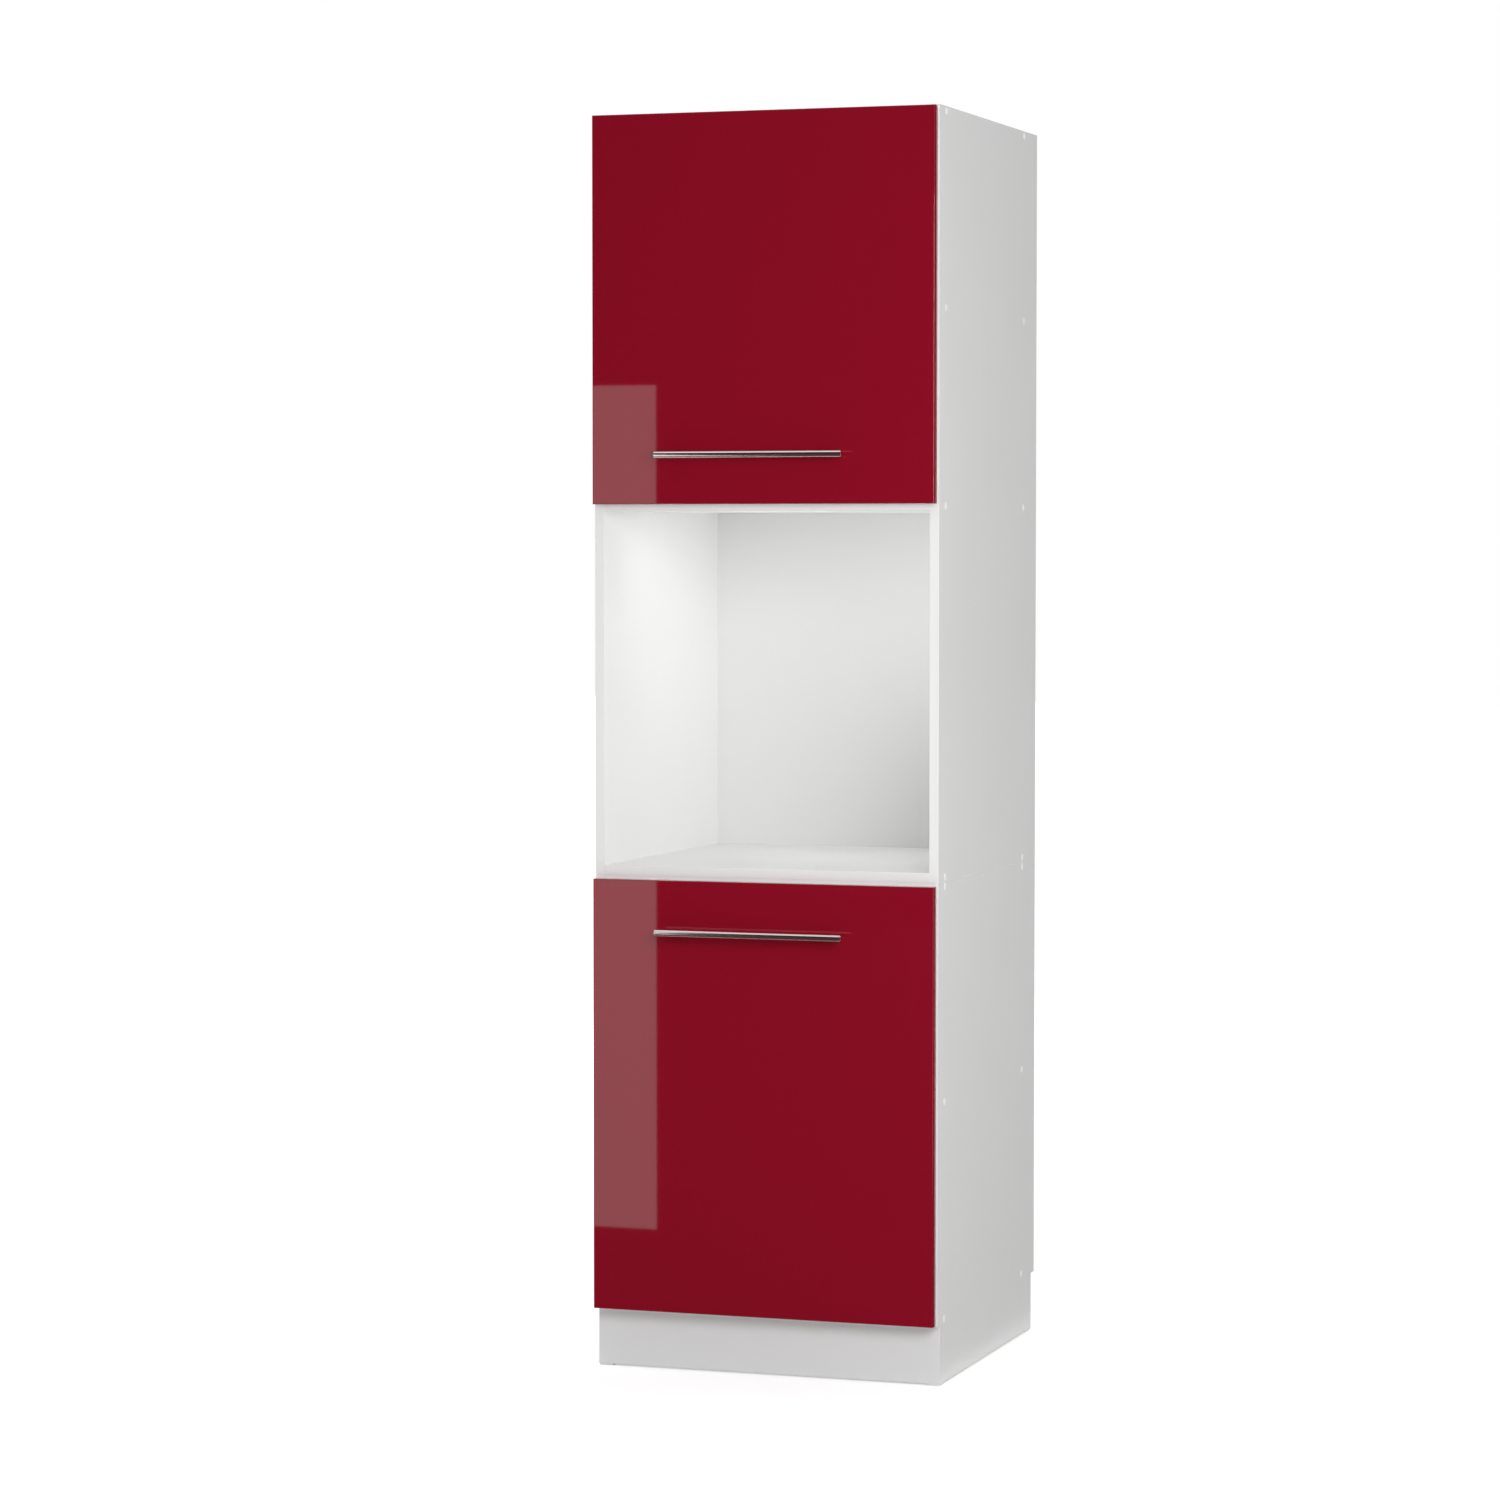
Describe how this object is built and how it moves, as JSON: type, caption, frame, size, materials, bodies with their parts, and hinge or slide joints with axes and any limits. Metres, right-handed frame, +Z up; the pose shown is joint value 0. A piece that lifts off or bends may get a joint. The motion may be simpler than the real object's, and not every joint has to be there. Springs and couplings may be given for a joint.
{
  "type": "oven housing unit",
  "caption": "Tall white kitchen unit with an open oven bay between two red gloss doors on concealed cup hinges, with bar handles and a recessed plinth.",
  "frame": {"origin": "middle of the bounding box, on the floor", "axes": "+X to the right seen from the front, +Y from the doors to the back, +Z up"},
  "size_m": [0.6016, 0.656, 2.1],
  "materials": {
    "white_board": "satin white melamine facing on chipboard",
    "white_hardboard": "white faced hardboard",
    "red_gloss_board": "high gloss dark red facing on board",
    "brushed_steel": "brushed stainless steel",
    "nickel_steel": "bright nickel plate",
    "pin_steel": "bright turned steel",
    "zinc_steel": "bright zinc plate",
    "cap_plastic": "matt white",
    "glide_plastic": "matt white",
    "clear_buffer": "soft clear plastic",
    "beech": "fluted hardwood"
  },
  "bodies": {
    "carcass": {"left_side_lower": "white_board", "left_side_upper": "white_board", "right_side_lower": "white_board", "right_side_upper": "white_board", "top_panel": "white_board", "upper_shelf": "white_board", "bay_ceiling": "white_board", "bay_floor": "white_board", "base_top": "white_board", "base_shelf": "white_board", "bottom_panel": "white_board", "back_upper": "white_hardboard", "back_lower": "white_hardboard", "plinth": "white_board", "foot_glides": "glide_plastic", "unit_screws": "zinc_steel", "carcass_screws": "zinc_steel", "cover_caps": "cap_plastic", "dowels": "beech", "upper_arm_pins": "pin_steel", "upper_arm_screws": "zinc_steel", "upper_plate_screws": "zinc_steel", "upper_door_low_arm": "nickel_steel", "upper_door_low_plate": "nickel_steel", "upper_door_high_arm": "nickel_steel", "upper_door_high_plate": "nickel_steel", "lower_arm_pins": "pin_steel", "lower_arm_screws": "zinc_steel", "lower_plate_screws": "zinc_steel", "lower_door_low_arm": "nickel_steel", "lower_door_low_plate": "nickel_steel", "lower_door_high_arm": "nickel_steel", "lower_door_high_plate": "nickel_steel"},
    "upper_links": {"upper_door_low_links": "nickel_steel", "upper_door_high_links": "nickel_steel"},
    "upper_guides": {"upper_door_low_guide": "nickel_steel", "upper_door_high_guide": "nickel_steel"},
    "upper_door": {"upper_door_panel": "red_gloss_board", "upper_handle_bar": "brushed_steel", "upper_handle_posts": "brushed_steel", "upper_handle_screws": "zinc_steel", "upper_door_buffers": "clear_buffer", "upper_cup_screws": "zinc_steel", "upper_cup_pins": "pin_steel", "upper_door_low_cup": "nickel_steel", "upper_door_high_cup": "nickel_steel"},
    "lower_links": {"lower_door_low_links": "nickel_steel", "lower_door_high_links": "nickel_steel"},
    "lower_guides": {"lower_door_low_guide": "nickel_steel", "lower_door_high_guide": "nickel_steel"},
    "lower_door": {"lower_door_panel": "red_gloss_board", "lower_handle_bar": "brushed_steel", "lower_handle_posts": "brushed_steel", "lower_handle_screws": "zinc_steel", "lower_door_buffers": "clear_buffer", "lower_cup_screws": "zinc_steel", "lower_cup_pins": "pin_steel", "lower_door_low_cup": "nickel_steel", "lower_door_high_cup": "nickel_steel"}
  },
  "joints": [
    {"name": "upper_links_turn", "type": "hinge", "parent": "carcass", "child": "upper_links", "pos_m": [0.2692, -0.2632, 1.77525], "axis": [0, 0, 1], "range_deg": [-33.65, 0]},
    {"name": "upper_door_turn", "type": "hinge", "parent": "upper_links", "child": "upper_door", "pos_m": [0.2881, -0.2772, 1.77525], "axis": [0, 0, 1], "range_deg": [0, 128.63]},
    {"name": "upper_guides_turn", "type": "hinge", "parent": "upper_door", "child": "upper_guides", "pos_m": [0.2871, -0.2828, 1.77525], "axis": [0, 0, 1], "range_deg": [-103.57, 0]},
    {"name": "lower_links_turn", "type": "hinge", "parent": "carcass", "child": "lower_links", "pos_m": [0.2692, -0.2632, 0.46425], "axis": [0, 0, 1], "range_deg": [-33.65, 0]},
    {"name": "lower_door_turn", "type": "hinge", "parent": "lower_links", "child": "lower_door", "pos_m": [0.2881, -0.2772, 0.46425], "axis": [0, 0, 1], "range_deg": [0, 128.63]},
    {"name": "lower_guides_turn", "type": "hinge", "parent": "lower_door", "child": "lower_guides", "pos_m": [0.2871, -0.2828, 0.46425], "axis": [0, 0, 1], "range_deg": [-103.57, 0]}
  ],
  "couplings": [
    {"joint": "upper_links_turn", "follows": "upper_door_turn", "ratio": -0.26145},
    {"joint": "upper_guides_turn", "follows": "upper_door_turn", "ratio": -0.80502},
    {"joint": "lower_links_turn", "follows": "lower_door_turn", "ratio": -0.26145},
    {"joint": "lower_guides_turn", "follows": "lower_door_turn", "ratio": -0.80502}
  ]
}
